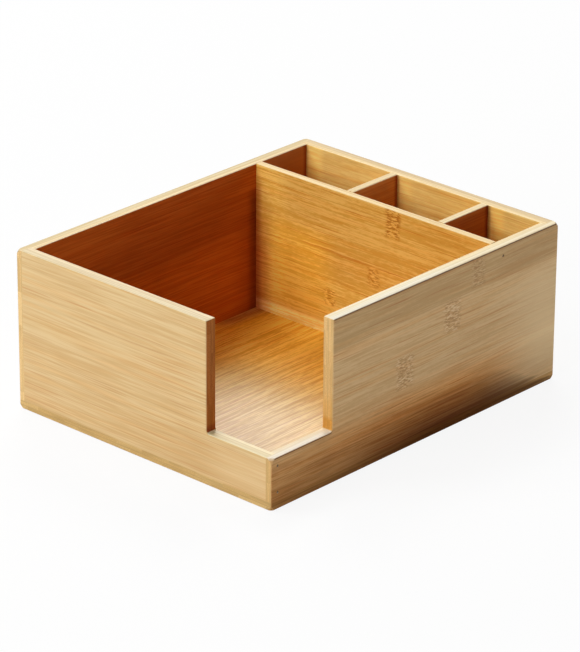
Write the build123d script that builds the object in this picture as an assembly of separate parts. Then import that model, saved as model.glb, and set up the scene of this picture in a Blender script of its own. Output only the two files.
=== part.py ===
from build123d import *
import math
import os

# Desk organizer in bamboo: a note tray with one low corner, and three small compartments behind it.
# Millimetres, +Z up, +X to the right, front wall on -Y. The origin is the middle of the underside.

# Outside of the box
width = 165.0
depth = 203.0
height = 82.5

# Board thicknesses
wall = 6.4
divider = 4.4
base = 4.4

# Corner joint: what is left of a side wall where it laps over the end of the front or rear wall
lip = 3.5

# Note tray, from the front wall to the long divider
tray_depth = 153.0

# Compartments behind the long divider, from the left; the third takes the rest of the width
left_bay = 56.5
middle_bay = 54.3

# Low corner at front right: how far the opening runs along each wall, and the rail left below it
cut_front = 40.8
cut_side = 41.2
rail = 26.3
cut_round = 1.5

# Sanded edges of the box and of the foot of its base panel, and the ball its corner points are sanded to
ease = 0.7
base_round = 0.8
corner_ball = 6.0

# Headed wire brads, driven in below the face of the side walls
brad_length = 16.0
brad_d = 0.9
brad_point = 1.6
brad_head_d = 1.3
brad_head = 0.6
brad_sink = 0.3
brad_fit = 0.05

# Where the brads go: back from the front face, in from the ends of the rail, down from the divider's top
brad_back = 4.2
brad_end = 4.3
brad_drop = 5.0

# Planes that several boards share
half_w = width / 2
half_d = depth / 2
inside_w = width - 2 * wall
inside_d = depth - 2 * wall
front_in = wall - half_d
rear_in = half_d - wall
left_in = wall - half_w
long_front = front_in + tray_depth
long_rear = long_front + divider
side_h = height - base
past = 2 * wall


def board(x0, x1, y0, y1, z0, z1):
    """A plain sawn board between six planes."""
    blank = Rectangle(x1 - x0, y1 - y0, align=Align.MIN)
    return Pos(x0, y0, z0) * extrude(blank, z1 - z0)


def turns_outward(solid, edge):
    """True where wood fills only a quarter of the space around the edge, as on any edge open to the hand."""
    around = Plane(origin=edge @ 0.5, z_dir=edge % 0.5)
    reach = ease / 4
    filled = 0
    for step in range(12):
        turn = math.radians(30 * step + 15)
        probe = Vector(reach * math.cos(turn), reach * math.sin(turn), 0)
        filled += solid.is_inside(around.from_local_coords(probe))
    return filled <= 4


def corner_opening():
    """The block of air over the low corner, with both of its lower edges rounded."""
    air = board(half_w - cut_front, half_w + past, -half_d - past, cut_side - half_d, rail, height + past)
    foot = air.edges().filter_by(lambda e: abs((e @ 0.5).Z - rail) < ease / 10)
    inner = foot.sort_by(Axis.X)[0], foot.sort_by(Axis.Y)[-1]
    return fillet(inner, min(cut_round, cut_front / 3, cut_side / 3))


def glued_walls():
    """All four walls as one ring with the low corner sawn out and every open edge sanded round."""
    ring = Rectangle(width, depth) - Rectangle(inside_w, inside_d)
    ring = Pos(0, 0, base) * extrude(ring, side_h) - corner_opening()
    solid = ring.solid()
    open_edges = [e for e in ring.edges() if (e @ 0.5).Z > base + ease / 10 and turns_outward(solid, e)]
    return fillet(open_edges, min(ease, lip / 3))


def corner_waste():
    """What comes off the outside corner points: all that stands proud of a ball set inside each of them."""
    inset, reach = 0.7 * corner_ball, 0.9 * corner_ball
    lean = {1: Align.MIN, -1: Align.MAX}
    tops = [(-1, -1, height), (-1, 1, height), (1, 1, height), (1, -1, rail)]
    points = [(x, y, z, 1) for x, y, z in tops] + [(x, y, 0, -1) for x, y, z in tops]
    return [
        Pos(x * (half_w - inset), y * (half_d - inset), z - up * inset)
        * (Box(reach, reach, reach, align=(lean[x], lean[y], lean[up])) - Sphere(corner_ball))
        for x, y, z, up in points
    ]


def side_blank(side):
    """Outline of one side wall: full depth, rabbeted at both ends to take the front and rear wall."""
    plan = Rectangle(wall, depth) - Locations((lip / 2, half_d - wall / 2), (lip / 2, wall / 2 - half_d)) * \
        Rectangle(wall - lip, wall)
    blank = Pos(left_in - wall / 2, 0, base) * extrude(plan, side_h)
    return blank if side == "left" else mirror(blank, about=Plane.YZ)


def end_blank(side):
    """Outline of the front or rear wall, which stops short inside the lips of the side walls."""
    y0 = -half_d if side == "front" else rear_in
    return board(lip - half_w, half_w - lip, y0, y0 + wall, base, height)


def divider_board(x0, x1, y0, y1):
    """A thin board standing on the base panel, its two long top edges sanded."""
    blank = board(x0, x1, y0, y1, base, height)
    along = Axis.X if x1 - x0 > y1 - y0 else Axis.Y
    top = blank.edges().filter_by(along).group_by(Axis.Z)[-1]
    return fillet(top, min(ease, divider / 3))


def base_board():
    """The panel under all the walls: rounded along its foot, with sanded corners flush with the walls."""
    panel = board(-half_w, half_w, -half_d, half_d, 0, base)
    panel = fillet(panel.edges().group_by(Axis.Z)[0], min(base_round, 0.8 * base))
    corners = extrude(RectangleRounded(width, depth, min(ease, lip / 3)), base)
    return panel & corners


def turned(profile):
    """Turn a half profile, drawn from the axis outward, into a round piece that points along +X."""
    return Rot(0, 90, 0) * revolve(Plane.XZ * make_face(Polyline(*profile, close=True)), Axis.Z)


def brad():
    """One brad, its head's top on the origin."""
    rs, rh = brad_d / 2, brad_head_d / 2
    tip = brad_length - brad_point
    return turned([(0, 0), (rh, 0), (rh, brad_head), (rs, brad_head), (rs, tip), (0, brad_length)])


def brad_bore():
    """The hole that a brad leaves: open above the sunk head, a close fit around the shank."""
    rs, rh = brad_d / 2 + brad_fit, brad_head_d / 2 + brad_fit
    out, end = -brad_sink - 1, brad_length + brad_fit
    return turned([(0, out), (rh, out), (rh, brad_head), (rs, brad_head), (rs, end), (0, end)])


def brad_places():
    """Each brad starts below the face of a side wall and points into the box."""
    from_right = Rot(0, 0, 180)
    seat = half_w - brad_sink
    line_up = (long_front + long_rear) / 2
    return [
        Pos(seat, brad_back - half_d, rail - brad_end) * from_right,
        Pos(seat, brad_back - half_d, base + brad_end) * from_right,
        Pos(seat, line_up, height - brad_drop) * from_right,
        Pos(-seat, line_up, height - brad_drop),
    ]


sanded = corner_waste()
walls = glued_walls() - sanded
bores = [place * brad_bore() for place in brad_places()]
first_x = left_in + left_bay
second_x = first_x + divider + middle_bay

pieces = {
    "base_panel": base_board() - sanded,
    "front_wall": (walls & end_blank("front")) - bores,
    "rear_wall": walls & end_blank("rear"),
    "left_wall": (walls & side_blank("left")) - bores,
    "right_wall": (walls & side_blank("right")) - bores,
    "long_divider": divider_board(left_in, -left_in, long_front, long_rear) - bores,
    "short_divider_left": divider_board(first_x, first_x + divider, long_rear, rear_in),
    "short_divider_right": divider_board(second_x, second_x + divider, long_rear, rear_in),
    "brads": Compound([place * brad() for place in brad_places()]),
}

os.makedirs("parts", exist_ok=True)
for name, piece in pieces.items():
    export_step(piece, f"parts/{name}.step")
    print(name, len(piece.solids()), "solid(s)", round(piece.volume, 1), "mm3")
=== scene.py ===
# %% [markdown]
# # A bamboo desk organizer
# This lesson dresses a finished model: eight bamboo boards and a few wire brads, already cut and glued in
# place. Nothing is modelled again here. What is left to make is the wood: glued strips, long fibres, the
# knuckles of the cane, end grain, sanded edges and a thin satin lacquer, and then a small white studio.

# %% Load the boards
import math

import bpy
from mathutils import Matrix, Vector


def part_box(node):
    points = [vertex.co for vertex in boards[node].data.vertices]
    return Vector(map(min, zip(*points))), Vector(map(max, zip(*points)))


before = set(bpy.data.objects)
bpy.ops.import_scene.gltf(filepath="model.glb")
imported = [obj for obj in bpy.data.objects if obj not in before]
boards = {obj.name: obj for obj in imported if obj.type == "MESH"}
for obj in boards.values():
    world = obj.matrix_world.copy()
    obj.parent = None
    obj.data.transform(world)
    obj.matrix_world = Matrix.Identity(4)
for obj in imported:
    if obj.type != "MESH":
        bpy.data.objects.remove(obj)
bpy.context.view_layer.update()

MM = 1000
print("pieces:", ", ".join(sorted(boards)))

# %% [markdown]
# ## Writing shader sums as Python
# A wood shader is mostly arithmetic on positions, and a long chain of Math nodes is hard to read. Blender
# has no text form for it, so a small class stands for one socket and turns +, -, * and the rest into
# nodes. The reflected forms make 1 - mask work as well as mask - 1.

# %% A socket that does sums
class Wire:
    """One output socket. Arithmetic on it adds a Math node and gives the wire that comes out."""

    def __init__(self, recipe, socket):
        self.recipe = recipe
        self.socket = socket

    def sum(self, operation, a, b=0.0):
        return self.recipe.add("ShaderNodeMath", {"operation": operation}, {0: a, 1: b})

    def __add__(self, other):
        return self.sum("ADD", self, other)

    def __radd__(self, other):
        return self.sum("ADD", other, self)

    def __sub__(self, other):
        return self.sum("SUBTRACT", self, other)

    def __rsub__(self, other):
        return self.sum("SUBTRACT", other, self)

    def __mul__(self, other):
        return self.sum("MULTIPLY", self, other)

    def __rmul__(self, other):
        return self.sum("MULTIPLY", other, self)

    def __truediv__(self, other):
        return self.sum("DIVIDE", self, other)

    def __rtruediv__(self, other):
        return self.sum("DIVIDE", other, self)

    def __pow__(self, other):
        return self.sum("POWER", self, other)

    def __rpow__(self, other):
        return self.sum("POWER", other, self)

    def __gt__(self, other):
        return self.sum("GREATER_THAN", self, other)

    def __lt__(self, other):
        return self.sum("LESS_THAN", self, other)

    def __abs__(self):
        return self.sum("ABSOLUTE", self)

    def __floor__(self):
        return self.sum("FLOOR", self)


print("a wire knows", len([name for name in vars(Wire) if name.startswith("__r")]), "reflected operators")

# %% [markdown]
# ## A recipe for a finish
# A material is a tree of nodes. Every node goes through one method, which sets the node's options before
# its sockets, because some options change which sockets there are. The other methods are the few sums
# that wood needs over and over: a smooth slope, a soft band, a mix of two colours, noise, and a random
# number.

# %% A node tree being written
TINT, COVER = "MULTIPLY", "MIX"


class Recipe:
    """The node tree of one material, or of the world, being written."""

    def __init__(self, owner):
        owner.use_nodes = True
        self.tree = owner.node_tree
        self.tree.nodes.clear()

    def add(self, kind, settings=None, sockets=None, out=0):
        """Any node: first its options, then a link or a plain value for each socket."""
        node = self.tree.nodes.new(kind)
        for name, value in (settings or {}).items():
            setattr(node, name, value)
        for name, value in (sockets or {}).items():
            if isinstance(value, Wire):
                self.tree.links.new(value.socket, node.inputs[name])
            else:
                node.inputs[name].default_value = value
        return Wire(self, node.outputs[out]) if node.outputs else node

    def larger(self, a, b):
        return self.add("ShaderNodeMath", {"operation": "MAXIMUM"}, {0: a, 1: b})

    def smaller(self, a, b):
        return self.add("ShaderNodeMath", {"operation": "MINIMUM"}, {0: a, 1: b})

    def rise(self, value, low, high):
        """0 below low, 1 above high, and a smooth slope between them."""
        sockets = {"Value": value, "From Min": low, "From Max": high}
        return self.add("ShaderNodeMapRange", {"interpolation_type": "SMOOTHSTEP"}, sockets)

    def near(self, value, place, reach, soft):
        """1 within reach of the place, fading to 0 over the soft distance."""
        return 1 - self.rise(abs(value - place), reach, reach + soft)

    def band(self, value, low, high, soft):
        """1 from low to high, with soft ends that reach as far inside as outside."""
        return self.rise(value, low - soft, low + soft) * (1 - self.rise(value, high - soft, high + soft))

    def blend(self, share, a, b, how=COVER):
        """Two colours mixed: Mix sockets 6 and 7 are the colours, and output 2 is the colour result."""
        settings = {"data_type": "RGBA", "blend_type": how, "clamp_factor": True}
        a, b = [v if isinstance(v, Wire) else (*v, 1.0) for v in (a, b)]
        return self.add("ShaderNodeMix", settings, {0: share, 6: a, 7: b}, out=2)

    def noise(self, x, y, z, detail=3.0, rough=0.55, twist=0.0):
        """Smooth noise at a point, so stretching the wood is only a matter of scaling one coordinate."""
        place = self.add("ShaderNodeCombineXYZ", None, {0: x, 1: y, 2: z})
        sockets = {"Vector": place, "Scale": 1.0, "Detail": detail, "Roughness": rough, "Distortion": twist}
        return self.add("ShaderNodeTexNoise", None, sockets)

    def chance(self, number):
        """A fixed random value from 0 to 1 for each number."""
        return self.add("ShaderNodeTexWhiteNoise", {"noise_dimensions": "1D"}, {"W": number})

    def split(self, vector):
        """The three parts of a vector, by the name of their axis."""
        return {axis: self.add("ShaderNodeSeparateXYZ", None, {0: vector}, out=axis) for axis in "XYZ"}


def dress(name, material):
    """Give one piece its finish."""
    boards[name].data.materials.clear()
    boards[name].data.materials.append(material)


print("shader sums are ready")

# %% [markdown]
# ## Boards, grain and strips
# Each board is pressed from bamboo strips about 17 mm wide, laid edge to edge in two plies. Along the
# strip run the fibres. A flat picture could be wrapped round each board, but then every edge would show a
# seam. Here the colour is worked out from the place inside the wood, so grain runs straight through a
# board and comes out at its ends as end grain, as it does in real timber. One small table says how each
# board was cut.

# %% How each board lies
STRIP = 17.4
# The low ply is shifted by this much, so that joints between strips don't lie over each other.
PLY_SHIFT = 7.6

LAY = {
    # name: grain axis, axis across the strips, axis through the board
    "base_panel": ("Y", "X", "Z"),
    "front_wall": ("X", "Z", "Y"),
    "rear_wall": ("X", "Z", "Y"),
    "left_wall": ("Y", "Z", "X"),
    "right_wall": ("Y", "Z", "X"),
    "long_divider": ("X", "Z", "Y"),
    "short_divider_left": ("Y", "Z", "X"),
    "short_divider_right": ("Y", "Z", "X"),
}


def middle(name):
    """Where the two plies of a board meet, in mm along the axis through it."""
    axis = "XYZ".index(LAY[name][2])
    low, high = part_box(name)
    return MM * (low[axis] + high[axis]) / 2


for name in LAY:
    print(f"{name}: grain along {LAY[name][0]}, plies meet at {middle(name):.1f} mm")

# %% [markdown]
# ## A point in a board
# Every later step asks the same of a point: how far along the grain it lies, in which ply and strip, and
# which way the surface faces there. The answers are worked out once for each board and kept together. By
# its direction a point shows one of the two broad faces, a long narrow edge, a cut end, or the rounding
# between. On a board that stands, the narrow edge in view is its top. On one that lies flat, it is the
# side. The low face is the one towards the smaller coordinate, so on the front wall that is the outside.

# %% What is known of a point
LOW, HIGH, EDGE, END = "low face", "high face", "edge", "end"
# Strips of the high ply are numbered on from here, so that none repeats the one behind it.
HIGH_PLY_NUMBER = 23


class Point:
    """One point of one board, as wires: its place, its ply and strip, and the way its surface faces."""

    def __init__(self, name, seed, first):
        self.seed = seed
        self.middle = middle(name)
        self.grain, self.over, self.thick = LAY[name]
        self.wood = bpy.data.materials.new("bamboo_" + name)
        self.r = Recipe(self.wood)
        self.find_place(first)
        self.find_direction()

    def find_place(self, first):
        """Millimetres along the grain, across it and through the board, and then the ply and the strip."""
        here = self.r.add("ShaderNodeTexCoord", out="Object")
        self.place = {axis: MM * part for axis, part in self.r.split(here).items()}
        self.along = self.place[self.grain]
        self.across = self.place[self.over]
        self.through = self.place[self.thick]
        self.ply = self.through > self.middle
        self.lane = (self.across + PLY_SHIFT * (1 - self.ply) + first) / STRIP
        self.strip = math.floor(self.lane) + HIGH_PLY_NUMBER * self.ply + self.seed

    def find_direction(self):
        """How far each kind of surface shows here, from 0 to 1."""
        r = self.r
        self.turned = r.split(r.add("ShaderNodeNewGeometry", out="Normal"))
        self.facing = {axis: abs(part) for axis, part in self.turned.items()}
        flattest = r.larger(r.larger(self.facing["X"], self.facing["Y"]), self.facing["Z"])
        self.rounded = 1 - r.rise(flattest, 0.86, 0.985)
        self.upward = r.rise(self.turned["Z"], 0.5, 0.7)
        self.lies_flat = self.thick == "Z"
        self.showing = {
            LOW: 1 - self.ply,
            HIGH: self.ply,
            EDGE: r.rise(self.facing["X"], 0.6, 0.9) if self.lies_flat else self.upward,
            END: r.rise(self.facing[self.grain], 0.6, 0.9),
        }


print("a point can show:", ", ".join((LOW, HIGH, EDGE, END)))

# %% [markdown]
# ## Fibres
# Bamboo has no growth rings. Its figure is made of straight fibre bundles, from hair-thin to about a
# millimetre, that run the length of a strip and stop at its edge. Noise that is squeezed across the grain
# and stretched along it gives such streaks. Several of them at different widths, shifted for every strip,
# keep the eye from finding a repeat. Single dark bundles are thin lines, cut sharply out of one more
# noise. Where the cane grew unevenly the fibres wave, so the lanes they follow can be pushed sideways in
# one band of a board.

# %% Streaks along the strips
# How far apart in the noise the strips are taken.
STRIPS_APART = 37.7


def streaks(p, wave, swirl):
    """Hair-thin, middle and broad streaks, thin dark lines, and the warmth of a streak, each from 0 to 1."""
    r = p.r
    shift = p.strip * STRIPS_APART
    lane = p.across + wave * r.noise(p.along * 0.016, p.across * 0.06, shift, 1.0)
    if swirl:
        low, high, amount = swirl
        push = r.noise(p.along * 0.17, p.across * 0.22, shift + 9.0, 2.0) - 0.5
        lane = lane + amount * push * r.band(p.across, low, high, 3.0)
    hair = r.noise(p.along * 0.03, lane * 1.3, p.through * 1.1 + shift, 2.0, 0.6)
    medium = r.noise(p.along * 0.016, lane * 0.45, p.through * 0.35 + shift, 2.0)
    broad = r.noise(p.along * 0.012, lane * 0.1, shift, 2.0)
    line = r.rise(r.noise(p.along * 0.022, lane * 1.5, shift + 5.5, 1.0), 0.6, 0.72)
    warmth = r.rise(r.noise(p.along * 0.012, lane * 0.33, shift + 3.3, 2.0), 0.45, 0.7)
    return hair, medium, broad, line, warmth


# %% [markdown]
# ## Broad faces
# A face goes from a deep tone to a pale one, as light as its streaks say. Each strip has a tone of its
# own, and a faint dark seam shows where two strips are glued. Short flecks can break up the long streaks,
# where the cut runs slightly across the fibres. The finer streaks are kept, because the lacquer lies
# unevenly over them.

# %% Colour of the two faces
GLUE = (0.22, 0.10, 0.03)


def toned(r, tones, light, line, warmth):
    """One face: streaks between its pale and its deep tone, warmer in places, with dark lines."""
    pale, deep = tones
    colour = r.blend(r.rise(light, 0.08, 0.92), deep, pale)
    colour = r.blend(0.8 * warmth, colour, (1.02, 0.93, 0.82), TINT)
    return r.blend(0.45 * line, colour, (0.86 * deep[0], 0.56 * deep[1], 0.34 * deep[2]))


def face_colour(p, low_face, high_face, wave=1.2, swirl=None, contrast=1.0, flecked=None):
    """Both faces, each in its own tones, with the seams between strips."""
    r = p.r
    p.hair, p.medium, broad, line, warmth = streaks(p, wave, swirl)
    light = contrast * (1.6 * (p.hair - 0.5) + 0.65 * (p.medium - 0.5) + 0.6 * (broad - 0.5))
    light = 0.5 + light + 0.2 * (r.chance(p.strip) - 0.5)
    if flecked:
        amount, short = flecked
        light = light + amount * (r.noise(p.along * short, p.across * 1.3, p.strip + 6.6, 2.0, 0.6) - 0.5)
    figure = light, contrast * line, warmth
    colour = r.blend(p.ply, toned(r, low_face, *figure), toned(r, high_face, *figure))
    seam = r.rise(abs(p.lane - math.floor(p.lane) - 0.5), 0.488, 0.5)
    return r.blend(0.16 * seam, colour, GLUE)


# %% [markdown]
# ## Knuckles
# The rings on a cane leave a mark on every strip cut from it: a patch as wide as the strip and about a
# centimetre long, where the fibres break up into short strokes, some dark and some pale. Which strips
# show one is chance, so the marks are listed, one line each. The patch is a soft box with a ragged edge.

# %% One knuckle
def knuckle(p, at, low, high, length, rim):
    """(patch, dark strokes, pale flecks) of one mark, each from 0 to 1."""
    r = p.r
    ragged = 4.0 * (r.noise(p.along * 0.1, p.across * 0.45, at, 2.0) - 0.5)
    reach = abs(p.along + ragged - at)
    patch = 1 - r.rise(reach, 0.22 * length, 0.5 * length)
    patch = patch * r.band(p.across + 0.3 * ragged, low + 0.8, high - 0.8, 1.2)
    strokes = r.noise(p.along * 0.36, p.across * 1.4, at + 4.0, 2.0, 0.6, 0.5)
    dark = r.rise(strokes, 0.47, 0.6)
    if rim:
        ends = r.near(reach, 0.3 * length, 0.04 * length, 0.1 * length)
        dark = r.smaller(dark + rim * ends * r.rise(strokes, 0.3, 0.55), 1.0)
    return patch, patch * dark, patch * r.rise(strokes, 0.5, 0.38)


def knuckled(p, colour, mark):
    """One mark: (face, place along the grain, from and to across it, length, strength, inks)."""
    face, at, low, high, length, strength, (tint, ink, fleck, rim) = mark
    patch, strokes, flecks = knuckle(p, at, low, high, length, rim)
    seen = strength * p.showing[face]
    colour = p.r.blend(0.6 * seen * patch, colour, tint, TINT)
    colour = p.r.blend(0.75 * seen * strokes, colour, ink)
    return p.r.blend(0.55 * seen * flecks, colour, fleck)


# %% [markdown]
# ## Tops and ends
# The top of a board is sanded bare and pale, with the plies running along it as fine lines. Its two rims
# carry a painted highlight, and often one ply is paler than the other, so a tint goes from side to side.
# A cut end shows pores, layers and the glue line between the plies, and every strip keeps a tone of its
# own there.

# %% Colour of tops and ends
SANDED_RIM_HIGHLIGHT = (0.88, 0.72, 0.48)


def top_colour(p, tones, sides):
    """The narrow edge: fine lines of two tones, pale rims with a painted highlight, a tint for each side."""
    r = p.r
    pale, deep = tones
    plies = r.noise(p.along * 0.015, p.through * 1.1, p.seed + 0.7, 2.0, 0.6)
    colour = r.blend(r.rise(plies, 0.38, 0.62), deep, pale)
    flecks = r.noise(p.along * 0.16, p.through * 2.0, p.seed + 8.0, 2.0)
    colour = r.blend(0.25 * r.rise(flecks, 0.56, 0.68), colour, tuple(0.8 * v for v in deep))
    glue = r.near(p.through, p.middle + 0.3, 0.1, 0.35)
    colour = r.blend(0.3 * glue, colour, tuple(0.75 * v for v in deep))
    # Painted highlight along the rounded rims of the top.
    rim = p.rounded * r.rise(p.turned["Z"], 0.6, 0.75)
    colour = r.blend(0.8 * rim, colour, SANDED_RIM_HIGHLIGHT)
    tint = r.blend(r.rise(p.through, p.middle - 2.8, p.middle + 2.8), *sides)
    return r.blend(1.0, colour, tint, TINT)


def end_colour(p, tones):
    """End grain: pores in the tone of each strip, dark layers and a glue line."""
    r = p.r
    pale, deep = tones
    pores = r.noise(p.across * 1.6, p.through * 1.6, p.strip, 2.0, 0.7)
    tone = r.rise(pores, 0.3, 0.7) + 0.7 * (r.chance(p.strip + 0.5) - 0.5)
    colour = r.blend(tone, deep, pale)
    layers = r.noise(p.across * 0.04, p.through * 0.8, p.strip + 2.5, 1.0)
    colour = r.blend(0.5 * r.rise(layers, 0.48, 0.6), colour, tuple(0.8 * v for v in deep))
    glue = r.near(p.through, p.middle, 0.1, 0.3)
    return r.blend(0.3 * glue, colour, tuple(0.6 * v for v in deep))


# %% [markdown]
# ## Stains, painted shade and painted light
# Wood is not the same tone all over. A stain is a soft box on one face, edge or end of a board, and
# either tints what is there or covers part of it. Many boxes are not stains but painted shade and painted
# light: darker corners where two boards meet, and paler or darker patches where the light falls
# unevenly. Tinting keeps the grain, so most boxes do that. Boxes in millimetres are used rather than a
# painted picture, because they hold at any distance and need no unwrapping.

# %% Stains, painted shade and painted light
# A range longer than any board, for a stain that runs over its whole length or height.
ALL = (-200, 200, 1)


def stained_or_shaded(p, colour, stain_or_shade):
    """One box of tone, painted shade or light: (surface, how, along and across from/to/soft, colour, share).
    """
    surface, how, (a0, a1, a_soft), (c0, c1, c_soft), tint, share = stain_or_shade
    mask = p.r.band(p.along, a0, a1, a_soft) * p.r.band(p.across, c0, c1, c_soft) * p.showing[surface]
    return p.r.blend(share * mask, colour, tint, how)


# %% [markdown]
# ## Painted shade along the foot
# The foot of the right side carries one large patch of painted shade: a bow that is deepest in the middle
# of the length, where the wood goes from tan through red-brown to nearly black, with single dark fibres in
# it. It has to run on over the edge of the base panel, so it is a function of the place alone. The lacquer
# is taken away there too, so that no sheen lightens the painted shade.

# %% A bow of painted shade
# Tints of the painted shade at the foot.
SHADE_RED_BROWN = (0.99, 0.68, 0.45)
SHADE_DARK_FIBRES = (0.76, 0.66, 0.60)
SHADE_NEARLY_BLACK = (0.14, 0.07, 0.045)


def bow_of_shade(p):
    """(warm, dark, lines): how far painted shade turns the foot red-brown, how far black, and its fibres."""
    r = p.r
    y, z = p.place["Y"], p.place["Z"]
    height = z + 8.0 * (r.noise(y * 0.014, z * 0.6, 3.0, 2.0) - 0.5)
    reach = 0.5 + 21.0 * (1 - r.rise(y, 48.0, 106.0))
    dark = 1 - r.smaller(r.larger(height, 0.0) / reach, 1.0) ** 1.35
    dark = dark * (0.2 + 0.75 * r.rise(y, -85.0, 15.0))
    warm = (1 - r.rise(height, 14.0, 37.0)) * (1 - r.rise(y, 22.0, 95.0))
    warm = warm * (0.7 + 0.3 * r.rise(y, -60.0, 0.0))
    lines = r.rise(r.noise(y * 0.025, z * 1.3, 12.0, 2.0, 0.6), 0.46, 0.60)
    return warm, dark, warm * lines


def shaded(p, colour, lacquer, share):
    """Colour and lacquer of a board with the bow of painted shade on its outer right face."""
    r = p.r
    warm, dark, lines = bow_of_shade(p)
    outer = r.rise(p.turned["X"], 0.3, 0.7)
    colour = r.blend(share * (warm * outer), colour, SHADE_RED_BROWN, TINT)
    colour = r.blend(share * (lines * outer), colour, SHADE_DARK_FIBRES, TINT)
    colour = r.blend(share * (dark * outer), colour, SHADE_NEARLY_BLACK, TINT)
    # The lacquer goes where the shade is painted, so that no sheen lightens it.
    unlacquered_in_shade = r.larger(dark, r.smaller(1.2 * warm, 0.85))
    return colour, lacquer * (1 - unlacquered_in_shade * outer)


# %% [markdown]
# ## Rounded edges and lacquer
# Hands and sandpaper take the lacquer off a rounded edge, and an upright one turns tan. An edge can also
# carry a thin dark line of painted shade: on the right wall only below its top, on the left and rear wall
# along every outer edge. Most of the sheen is in the lacquer, a clear coat over bare wood.
# It is thin on cut ends, uneven over the fibres, and can be dulled along a board or thinned towards one
# side of it.

# %% Edges, and the clear coat
WORN_TAN = (0.80, 0.60, 0.34)


def edged(p, colour, line):
    """Worn upright edges, and a line of painted shade: (ink, share, outward way, only below the top)."""
    r = p.r
    upright = p.rounded * (1 - r.rise(p.facing["Z"], 0.05, 0.2))
    colour = r.blend(0.25 * upright, colour, WORN_TAN)
    if line:
        ink, share, outward, only_top = line
        painted_edge_shade = r.rise(outward * p.turned[p.thick], 0.15, 0.4) * (1 - p.upward)
        if only_top:
            painted_edge_shade = painted_edge_shade * r.rise(p.turned["Z"], 0.03, 0.15) * (1 - r.rise(p.facing[p.grain], 0.1, 0.3))
        else:
            painted_edge_shade = painted_edge_shade * p.rounded
        colour = r.blend(share * painted_edge_shade, colour, ink)
    return colour


def clear_coat(p, coat=1.0, ridged=0.0, dulled=None, thinned=None):
    """How much lacquer lies here. Dulled and thinned are (from, to, share lost)."""
    r = p.r
    lacquer = coat * (1 - 0.7 * p.showing[END]) * (0.85 + 0.3 * p.medium + ridged * (p.hair - 0.5))
    lacquer = lacquer * (1 - p.rounded)
    if p.lies_flat:
        lacquer = lacquer * (0.1 + 0.9 * p.upward)
    if dulled:
        start, end, lost = dulled
        lacquer = lacquer * (1 - lost * r.rise(p.along, start, end))
    if thinned:
        start, end, lost = thinned
        lacquer = lacquer * (1 - lost * (1 - r.rise(p.across, start, end)))
    return lacquer


# %% [markdown]
# ## Bamboo
# One function makes the wood of any board by taking these steps in order: faces, knuckles and stains
# first, some of them painted shade and light, then the top and the ends over them, then the edges, the
# lacquer and the painted shade along the foot. The fibres stand up by a few hundredths of a millimetre,
# which is too little to model, so they are a bump.

# %% The wood of one board
WHITE = (1.0, 1.0, 1.0)
FIBRE_HEIGHT = 0.00006


def varnished(p, colour, lacquer, gloss, rough):
    """Join colour and lacquer to the surface of the board."""
    r = p.r
    matt = 0.5 + 0.2 * (p.hair - 0.5) + 0.12 * p.showing[END]
    fibres = {"Strength": 0.15, "Distance": FIBRE_HEIGHT, "Height": p.hair + 0.6 * p.medium}
    skin = {"Base Color": colour, "Roughness": matt, "Normal": r.add("ShaderNodeBump", None, fibres),
            "Specular IOR Level": 0.0, "Coat Weight": lacquer, "Coat Roughness": rough, "Coat IOR": gloss}
    r.add("ShaderNodeOutputMaterial", None, {"Surface": r.add("ShaderNodeBsdfPrincipled", None, skin)})


def bamboo(name, faces, ends, top, seed, first=0.0, grain=None, knuckles=(), stains_and_shade=(), sides=(WHITE, WHITE),
           edge_stains_and_shade=(), line=None, lacquer=None, gloss=1.5, rough=0.42, foot=0.0):
    """Make the wood of one board, and put it on."""
    p = Point(name, seed, first)
    colour = face_colour(p, *faces, **(grain or {}))
    for mark in knuckles:
        colour = knuckled(p, colour, mark)
    for stain_or_shade in stains_and_shade:
        colour = stained_or_shaded(p, colour, stain_or_shade)
    colour = p.r.blend(p.showing[EDGE], colour, top_colour(p, top, sides))
    colour = p.r.blend(p.showing[END], colour, end_colour(p, ends))
    for stain_or_shade in edge_stains_and_shade:
        colour = stained_or_shaded(p, colour, stain_or_shade)
    colour = edged(p, colour, line)
    coat = clear_coat(p, **(lacquer or {}))
    if foot:
        colour, coat = shaded(p, colour, coat, foot)
    varnished(p, colour, coat, gloss, rough)
    dress(name, p.wood)
    marks = len(stains_and_shade) + len(edge_stains_and_shade)
    print(f"{p.wood.name}: {len(p.r.tree.nodes)} nodes, {len(knuckles)} knuckles, {marks} stains")


# %% [markdown]
# ## Tones
# No two boards have the same tone, and one can be pale on one face and red-brown on the other. The
# red-brown faces and the brown cut end lie in shade, and their tones are deepened with painted shade. The
# ivory top of the right wall is painted whiter for its sheen. Every tone is a pair, pale and deep, for the
# streaks to run between. A knuckle has a tint for its patch, an ink for the dark strokes, a colour for the
# pale flecks, and a number for how dark its two ends are.

# %% Tones of the wood, and kinds of knuckle
HONEY = (0.748, 0.545, 0.262), (0.640, 0.403, 0.158)
TAN = (0.870, 0.590, 0.280), (0.745, 0.455, 0.188)
GOLD = (0.970, 0.680, 0.225), (0.850, 0.520, 0.130)
AMBER = (0.850, 0.515, 0.125), (0.690, 0.355, 0.055)
ORANGE = (0.920, 0.490, 0.075), (0.680, 0.295, 0.022)
# Painted shade: a russet deepened for a side in shade.
SHADED_RUSSET = (0.590, 0.150, 0.022), (0.465, 0.102, 0.011)
# Painted shade: chestnut and mahogany deepened for sides in shade.
SHADED_CHESTNUT = (0.770, 0.290, 0.070), (0.640, 0.195, 0.042)
SHADED_MAHOGANY = (0.540, 0.150, 0.028), (0.430, 0.100, 0.015)
PALE_ENDS = (0.820, 0.550, 0.240), (0.680, 0.420, 0.160)
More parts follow.
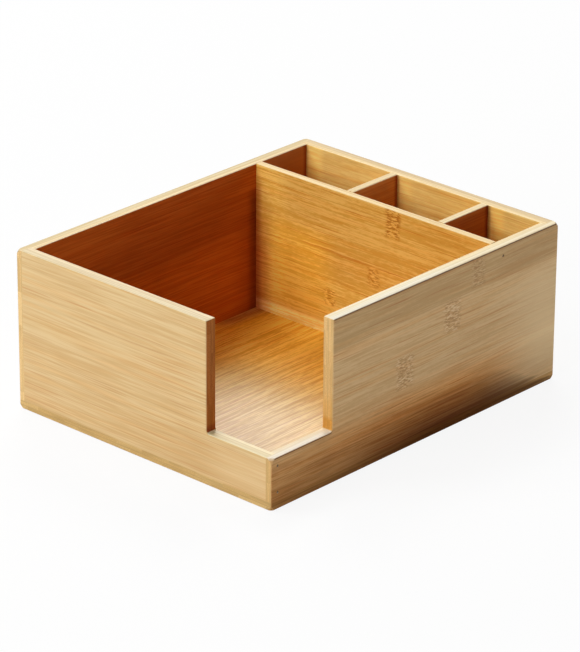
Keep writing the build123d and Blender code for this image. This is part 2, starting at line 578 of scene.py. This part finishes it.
# Painted shade: brown end grain for a cut end in shade.
SHADED_BROWN_ENDS = (0.560, 0.200, 0.045), (0.430, 0.130, 0.022)
STRAW = (0.790, 0.590, 0.300), (0.670, 0.460, 0.190)
SAND = (0.790, 0.640, 0.385), (0.670, 0.495, 0.250)
CREAM = (0.890, 0.735, 0.460), (0.770, 0.580, 0.310)
MILK = (0.960, 0.780, 0.475), (0.850, 0.640, 0.335)
# Painted sheen: a top made whiter.
IVORY_SHEEN = (0.940, 0.850, 0.630), (0.840, 0.720, 0.480)
NUT = (0.690, 0.420, 0.162), (0.560, 0.330, 0.125)

DULL = (0.97, 0.91, 0.87), (0.52, 0.25, 0.075), (1.00, 0.80, 0.48), 0.0
SOFT = (0.96, 0.90, 0.84), (0.44, 0.24, 0.085), (0.86, 0.66, 0.36), 0.3
FIERY = (0.95, 0.82, 0.60), (0.40, 0.115, 0.006), (0.97, 0.60, 0.15), 0.7
EMBER = (0.97, 0.86, 0.68), (0.46, 0.150, 0.012), (0.97, 0.60, 0.15), 0.15
print("palest top", IVORY_SHEEN[0], "and deepest face", SHADED_RUSSET[1])

# %% [markdown]
# ## Front wall
# The front is a calm board: honey-coloured, with long even streaks, a darker strip along its foot and a
# thin line where two strips meet. The end that the cut-out leaves lies in shade: it is brown with painted
# shade, and darker still at its foot. The top of its low rail is paler with painted light.
# Places of marks are in millimetres along the grain and across it.

# %% Front wall
bamboo(
    "front_wall", (HONEY, AMBER), SHADED_BROWN_ENDS, SAND, seed=3, first=4.0,
    grain=dict(contrast=1.15),
    sides=((0.93, 0.95, 0.92), (1.06, 1.05, 1.04)),
    stains_and_shade=[
        (LOW, TINT, ALL, (-5, 4.9, 0.8), (0.90, 0.86, 0.80), 1.0),
        (LOW, TINT, (-62, 40, 8), (30.6, 31.2, 0.4), (0.84, 0.70, 0.55), 0.8),
        (LOW, TINT, (-60, 30, 20), (44.0, 48.5, 1.5), (0.98, 0.92, 0.84), 0.9),
        (LOW, COVER, (48, 90, 14), (6, 24, 5), (0.84, 0.59, 0.29), 0.4),
    ],
    edge_stains_and_shade=[
        # Painted light: the top of the low rail paler and whiter.
        (EDGE, TINT, (40, 90, 1), (0, 40, 1), (1.08, 1.14, 1.18), 1.0),
        # Painted shade: the cut end darker at its foot.
        (END, TINT, (30, 50, 1), (20, 29.5, 1.5), (0.75, 0.50, 0.45), 1.0),
    ],
)

# %% [markdown]
# ## Right wall
# This wall is in shade, and shows the cane best: three knuckles climb across three strips, and its top
# strip is a shade darker. Its far end is paler, a painted reflection of the bright room, and a bow of
# painted shade lies along its foot. A thin dark line of painted shade runs under its pale top, which is
# painted whiter for its sheen.

# %% Right wall
bamboo(
    # Its top is ivory, painted whiter for its sheen.
    "right_wall", (AMBER, TAN), PALE_ENDS, IVORY_SHEEN, seed=11, first=3.4,
    grain=dict(wave=3.0, contrast=1.55, flecked=(0.9, 0.3)),
    knuckles=[
        (HIGH, -10.1, 31.0, 49.0, 16.0, 1.0, DULL),
        (HIGH, 23.3, 49.0, 66.5, 16.0, 1.0, DULL),
        (HIGH, 42.0, 66.5, 82.5, 13.0, 0.8, DULL),
    ],
    sides=((1.04, 1.0, 0.90), (1.02, 1.06, 1.18)),
    stains_and_shade=[
        # Painted shade: a dark line just under the top.
        (HIGH, TINT, ALL, (81.3, 90, 0.5), (0.78, 0.66, 0.50), 1.0),
        (HIGH, TINT, ALL, (66.5, 90, 2.5), (0.84, 0.83, 0.78), 0.9),
        (HIGH, TINT, (60, 110, 15), (66.5, 90, 2.5), (0.93, 0.91, 0.89), 1.0),
        # Painted reflection: the far end paler.
        (HIGH, COVER, (70, 120, 25), (8, 62, 9), (0.95, 0.69, 0.37), 0.65),
        (HIGH, TINT, (-110, -62, 5), (4, 27, 3), (0.91, 0.93, 0.94), 1.0),
        (HIGH, TINT, (-25, 110, 15), (21, 33, 6), (1.09, 1.12, 1.15), 1.0),
    ],
    edge_stains_and_shade=[
        (EDGE, TINT, (20, 110, 20), (50, 90, 1), (1.0, 0.93, 0.80), 1.0),
        (EDGE, TINT, (-110, -60, 1), (20, 50, 1), (0.94, 0.92, 0.95), 1.0),
        (END, TINT, (-65, -55, 1), (20, 42, 5), (1.05, 0.96, 0.78), 1.0),
        (END, TINT, (-65, -55, 1), (20, 32.5, 1.5), (0.96, 0.80, 0.52), 1.0),
    ],
    # A thin dark line of painted shade under the top.
    line=((0.12, 0.035, 0.010), 0.9, 1, True),
    lacquer=dict(coat=0.6),
    # Painted shade along the foot.
    foot=1.0,
)

# %% [markdown]
# ## Rear wall
# Inside, the rear wall is golden. At the left of each compartment it has painted shade in the corner
# itself, where little light gets in, and painted light beside it, which makes it paler there. Outside it
# is honey-coloured like the front, with two soft knuckles, and its outer edges carry a thin dark line of
# painted shade.

# %% Rear wall
bamboo(
    "rear_wall", (GOLD, HONEY), PALE_ENDS, STRAW, seed=27, first=9.0,
    grain=dict(contrast=1.4, flecked=(1.0, 0.2)),
    knuckles=[
        (HIGH, -38.0, 43.2, 60.6, 14.0, 0.7, SOFT),
        (HIGH, 21.0, 25.8, 43.2, 13.0, 0.6, SOFT),
    ],
    sides=((1.12, 1.12, 1.04), (0.84, 0.81, 0.76)),
    stains_and_shade=[
        # Painted light: paler beside the corners.
        (LOW, TINT, (-74, -66, 3), ALL, (1.17, 1.20, 1.10), 1.0),
        (LOW, TINT, (-12.5, -6, 3), ALL, (1.10, 1.10, 1.00), 1.0),
        (LOW, TINT, (46.5, 53, 3), ALL, (1.20, 1.17, 1.00), 1.0),
        # Painted shade: dark in the corners.
        (LOW, TINT, (-80, -75.2, 1), ALL, (0.75, 0.58, 0.50), 1.0),
        (LOW, TINT, (-17, -13.9, 1.2), ALL, (0.50, 0.35, 0.25), 1.0),
        (LOW, TINT, (42, 44.9, 1.2), ALL, (0.45, 0.32, 0.25), 1.0),
    ],
    # A thin dark line of painted shade along the outer edges.
    line=((0.44, 0.36, 0.22), 0.6, 1, False),
)

# %% [markdown]
# ## Left wall
# The left wall turns its russet side to the tray, a side in shade whose tone is deepened with painted
# shade. It is darker in a band above the middle, has painted shade towards the corner with the long
# divider and in the rear corner, and is a little paler behind the divider. It has the least sheen of all.
# Its outer side is honey-coloured, with two soft knuckles, and its outer edges carry a thin dark line of
# painted shade.

# %% Left wall
bamboo(
    # The russet tray side is deepened with painted shade.
    "left_wall", (HONEY, SHADED_RUSSET), PALE_ENDS, CREAM, seed=41, first=1.0,
    grain=dict(contrast=1.5),
    knuckles=[
        (LOW, -52.0, 26.2, 43.6, 14.0, 0.6, SOFT),
        (LOW, 34.0, 43.6, 61.0, 13.0, 0.7, SOFT),
    ],
    sides=((0.90, 0.92, 0.92), (1.14, 1.14, 1.17)),
    stains_and_shade=[
        (HIGH, TINT, (-110, 62, 3), (46, 66, 10), (0.84, 0.78, 0.80), 1.0),
        (HIGH, TINT, (-40, 42, 15), (48, 90, 6), (0.93, 0.89, 0.96), 1.0),
        (HIGH, COVER, (62, 110, 3), ALL, (0.60, 0.195, 0.050), 0.75),
        # Painted shade: darker towards the corner with the long divider.
        (HIGH, TINT, (46, 61, 8), (-10, 60, 12), (0.84, 0.78, 0.75), 1.0),
        (HIGH, TINT, (53.5, 61, 3.5), (-10, 68, 6), (0.55, 0.50, 0.45), 1.0),
        # Painted shade: dark in the rear corner.
        (HIGH, TINT, (93.2, 110, 1.5), ALL, (0.62, 0.45, 0.30), 1.0),
    ],
    edge_stains_and_shade=[(END, TINT, (-110, -90, 1), ALL, (1.06, 1.12, 1.25), 1.0)],
    # A thin dark line of painted shade along the outer edges.
    line=((0.42, 0.34, 0.22), 0.9, -1, False),
    lacquer=dict(coat=0.25),
)

# %% [markdown]
# ## Dividers
# The long divider is amber, with the liveliest grain: short strokes all over, a band where the fibres
# wave, and three knuckles. Painted light makes a pale strip along its foot and brightens its lower part
# and its left end, and painted shade darkens that end in the corner itself. The two short dividers show
# a red-brown side to the right, a side in shade whose tone is deepened with painted shade, and painted
# shade darkens them where they meet the rear wall.

# %% Dividers
bamboo(
    "long_divider", (AMBER, AMBER), PALE_ENDS, MILK, seed=57, first=3.4,
    grain=dict(swirl=(33, 50, 1.3), contrast=1.9, flecked=(1.7, 0.26)),
    knuckles=[
        (LOW, 14.4, 67.0, 83.5, 12.5, 1.0, FIERY),
        (LOW, 2.6, 38.0, 49.0, 10.0, 1.0, EMBER),
        (LOW, -26.0, 19.5, 30.0, 10.0, 1.0, EMBER),
    ],
    sides=((1.0, 0.95, 0.84), (1.0, 0.95, 0.88)),
    stains_and_shade=[
        # Painted light: a pale strip along the foot.
        (LOW, TINT, ALL, (-5, 9.8, 1.6), (1.36, 1.86, 3.3), 1.0),
        # Painted light: the lower part brighter.
        (LOW, TINT, (-28, 90, 8), (10, 34, 6.0), (1.12, 1.22, 1.24), 1.0),
        (LOW, TINT, (-66, -28, 10), (10, 56, 8), (1.21, 1.19, 0.82), 1.0),
        (LOW, TINT, (35, 90, 15), (30, 90, 1), (0.93, 0.90, 0.82), 0.9),
        # Painted light: the left end brighter.
        (LOW, TINT, (-95, -58, 7), ALL, (1.17, 1.26, 1.28), 1.0),
        # Painted shade: dark in the corner with the left wall.
        (LOW, TINT, (-95, -68, 5), (-10, 50, 16), (0.75, 0.48, 0.40), 1.0),
        (LOW, TINT, (-95, -73.2, 2.2), (-10, 72, 6), (0.66, 0.42, 0.40), 1.0),
    ],
    lacquer=dict(coat=0.5),
)
bamboo(
    # Its right side is deepened with painted shade.
    "short_divider_left", (AMBER, SHADED_CHESTNUT), PALE_ENDS, MILK, seed=71,
    # Painted shade where it meets the rear wall.
    stains_and_shade=[(HIGH, TINT, (93.6, 110, 1.4), ALL, (0.55, 0.30, 0.20), 1.0)],
    lacquer=dict(coat=0.4),
)
bamboo(
    # Its right side is deepened with painted shade.
    "short_divider_right", (AMBER, SHADED_MAHOGANY), PALE_ENDS, MILK, seed=83,
    # Painted shade where it meets the rear wall.
    stains_and_shade=[(HIGH, TINT, (93.4, 110, 1.6), ALL, (0.50, 0.30, 0.20), 1.0)],
    lacquer=dict(coat=0.4),
)

# %% [markdown]
# ## Base panel
# The floor of the tray is orange wood under the thickest lacquer, ridged by the fibres, so it shines
# towards the front and keeps its own colour at the rear, where it is dulled. It is greyer at the front
# right, where part of its sheen is painted into the colour, brighter at the rear left with painted light,
# and darkest in the corner between the left wall and the divider, with painted shade. Its edge shows all
# round the foot of the box: nut-brown along the sides, with the bow of painted shade on the right, and
# end grain at the front.

# %% Base panel
bamboo(
    "base_panel", (HONEY, ORANGE), PALE_ENDS, NUT, seed=97,
    grain=dict(contrast=1.7, flecked=(1.8, 0.2)),
    stains_and_shade=[
        # Painted sheen: the front right greyer.
        (HIGH, TINT, (-120, 2, 25), (-45, 110, 30), (0.70, 0.91, 1.15), 1.0),
        (HIGH, TINT, (25, 110, 20), ALL, (0.86, 0.82, 0.50), 1.0),
        (HIGH, TINT, (-48, 4, 12), (-90, -36, 9), (1.12, 1.01, 0.70), 1.0),
        (HIGH, TINT, (44, 60, 5), (-22, 90, 8), (0.93, 0.91, 0.80), 1.0),
        # Painted light: the rear left brighter.
        (HIGH, TINT, (5, 110, 15), (-90, -25, 12), (1.30, 1.38, 1.6), 1.0),
        (HIGH, TINT, (46, 110, 8), (-58, -28, 6), (1.18, 1.34, 1.8), 1.0),
        # Painted shade: darkest in the corner by the left wall and the divider.
        (HIGH, TINT, (30, 110, 10), (-90, -69, 5), (0.64, 0.50, 1.1), 1.0),
    ],
    edge_stains_and_shade=[
        (END, TINT, (-110, -90, 1), ALL, (0.87, 0.90, 0.90), 1.0),
        (EDGE, TINT, (55, 110, 20), ALL, (1.20, 1.18, 1.25), 1.0),
    ],
    lacquer=dict(ridged=1.2, dulled=(-40, 20, 0.65), thinned=(-75, -15, 0.45)),
    gloss=2.4,
    rough=0.46,
    # Painted shade along the foot of the right side.
    foot=0.82,
)

# %% [markdown]
# ## Brads
# The few wire brads are driven a little below the face, so only a dark dot shows. They are plain steel
# that has gone dull and brown, blotched in two tones so that the dots aren't all alike.

# %% Dull steel wire
steel = bpy.data.materials.new("dull_brad_steel")
r = Recipe(steel)
spot = r.add("ShaderNodeTexCoord", out="Object")
blotches = r.add("ShaderNodeTexNoise", None, {"Vector": spot, "Scale": 900.0, "Detail": 3.0})
colour = r.blend(r.rise(blotches, 0.35, 0.65), (0.17, 0.105, 0.055), (0.31, 0.20, 0.11))
metal = {"Base Color": colour, "Metallic": 0.2, "Roughness": 0.6 + 0.2 * (blotches - 0.5)}
r.add("ShaderNodeOutputMaterial", None, {"Surface": r.add("ShaderNodeBsdfPrincipled", None, metal)})
dress("brads", steel)
print("brads:", len(boards["brads"].data.polygons), "faces of dull steel")

# %% [markdown]
# ## A white table
# The organizer stands on a white table with no edge in view. A painted plane would come out grey where
# the light thins, so to the eye, and in reflections, most of its brightness is its own. The rest is plain
# white paint, which keeps the soft shadow and throws light back at the box. Light Path tells the two
# kinds of ray apart.

# %% Table
TABLE_SIZE = 30.0
BELOW_THE_BOX = 0.0002
OWN_LIGHT = 0.9


def looked_at(r):
    """1 for a ray from the camera, or one that shows the surface in a reflection or through glass."""
    kinds = ("Is Camera Ray", "Is Glossy Ray", "Is Transmission Ray")
    looks = [r.add("ShaderNodeLightPath", out=kind) for kind in kinds]
    return r.smaller(looks[0] + looks[1] + looks[2], 1.0)


bpy.ops.mesh.primitive_plane_add(size=TABLE_SIZE, location=(0, 0, -BELOW_THE_BOX))
table = bpy.context.object
table.name = "white_table"
paint = bpy.data.materials.new("white_table_paint")
r = Recipe(paint)
matt = r.add("ShaderNodeBsdfDiffuse", None, {"Color": (0.92, 0.92, 0.92, 1.0)})
glow = r.add("ShaderNodeEmission", None, {"Color": (1, 1, 1, 1), "Strength": 1.0})
both = r.add("ShaderNodeMixShader", None, {0: OWN_LIGHT * looked_at(r), 1: matt, 2: glow})
r.add("ShaderNodeOutputMaterial", None, {"Surface": both})
table.data.materials.append(paint)
print("table top at", round(MM * table.location.z, 2), "mm")

# %% [markdown]
# ## Studio light
# Five soft lamps hang on one large sphere round the box, so each is given by its direction alone. One in
# front and one higher at front left light the front wall and look over it onto the divider, and leave the
# right wall in gentle shade. One high over the left side lights the tops. One behind on the left skims
# the tops and the floor of the tray, which gives the lacquer its sheen. A weak one, low at right rear,
# keeps the shaded wall from going black.

# %% Lamps
def softbox(name, round_by, up_by, watts, size=0.9, away=2.2):
    """A square lamp on the sphere: degrees round from the front, towards the right, and degrees up."""
    turn = math.radians(round_by)
    lift = math.radians(up_by)
    to_lamp = Vector((math.cos(lift) * math.sin(turn), -math.cos(lift) * math.cos(turn), math.sin(lift)))
    lamp = bpy.data.lights.new(name, "AREA")
    lamp.shape = "SQUARE"
    lamp.size = size
    lamp.energy = watts
    holder = bpy.data.objects.new(name, lamp)
    holder.location = away * to_lamp
    holder.rotation_euler = (-to_lamp).to_track_quat("-Z", "Y").to_euler()
    bpy.context.scene.collection.objects.link(holder)
    print(f"{name}: {watts} W at {[round(v, 2) for v in holder.location]} m")


softbox("front_lamp", 0, 28, 21.0)
softbox("front_left_lamp", -45, 48, 16.0)
softbox("high_left_lamp", -90, 68, 9.0)
softbox("rear_left_lamp", -135, 48, 20.0)
softbox("low_right_fill", 135, 8, 8.0)

# %% [markdown]
# ## A pale room
# What the camera and the reflections see behind the table is plain white. As a light, though, the room is
# kept weak, so that the lamps model the box. The same Light Path test as on the table tells the two
# apart.

# %% World
world = bpy.data.worlds.new("pale_room")
scene = bpy.context.scene
scene.world = world
r = Recipe(world)
room = r.add("ShaderNodeBackground", None, {"Color": (1.0, 0.99, 0.97, 1.0), "Strength": 0.04})
white = r.add("ShaderNodeBackground", None, {"Color": (1, 1, 1, 1), "Strength": 1.0})
both = r.add("ShaderNodeMixShader", None, {0: looked_at(r), 1: room, 2: white})
r.add("ShaderNodeOutputWorld", None, {"Surface": both})
scene.view_settings.view_transform = "Standard"
print("view transform:", scene.view_settings.view_transform)

# %% [markdown]
# ## Camera
# The camera stands well back, high on the low corner's side, with a long lens, so upright edges stay
# almost upright. Its place was worked out from the straight edges of the box: where they meet in the
# picture fixes the distance, the turn and the lens together.

# %% Camera
STANDS_AT = Vector((1.17004, -1.27822, 0.79544))
MIDDLE_OF_THE_BOX = Vector((0, 0, 0.04))

eye = bpy.data.cameras.new("camera")
eye.sensor_width = 36.0
eye.lens = 216.74
eye.clip_start = 0.05
eye.clip_end = 100.0
camera = bpy.data.objects.new("camera", eye)
right = Vector((0.73587, 0.67710, 0.00630))
up = Vector((-0.27625, 0.29170, 0.91575))
back = right.cross(up).normalized()
up = back.cross(right).normalized()
turn = Matrix((right.normalized(), up, back)).transposed()
camera.matrix_world = Matrix.Translation(STANDS_AT) @ turn.to_4x4()
scene.collection.objects.link(camera)
scene.camera = camera
print("camera is", round((STANDS_AT - MIDDLE_OF_THE_BOX).length, 2), "m away, lens", round(eye.lens, 2), "mm")

# %% [markdown]
# ## The shape
# The wood only changed the look of the boards, so the dressed box has to measure the same as the bare
# one.
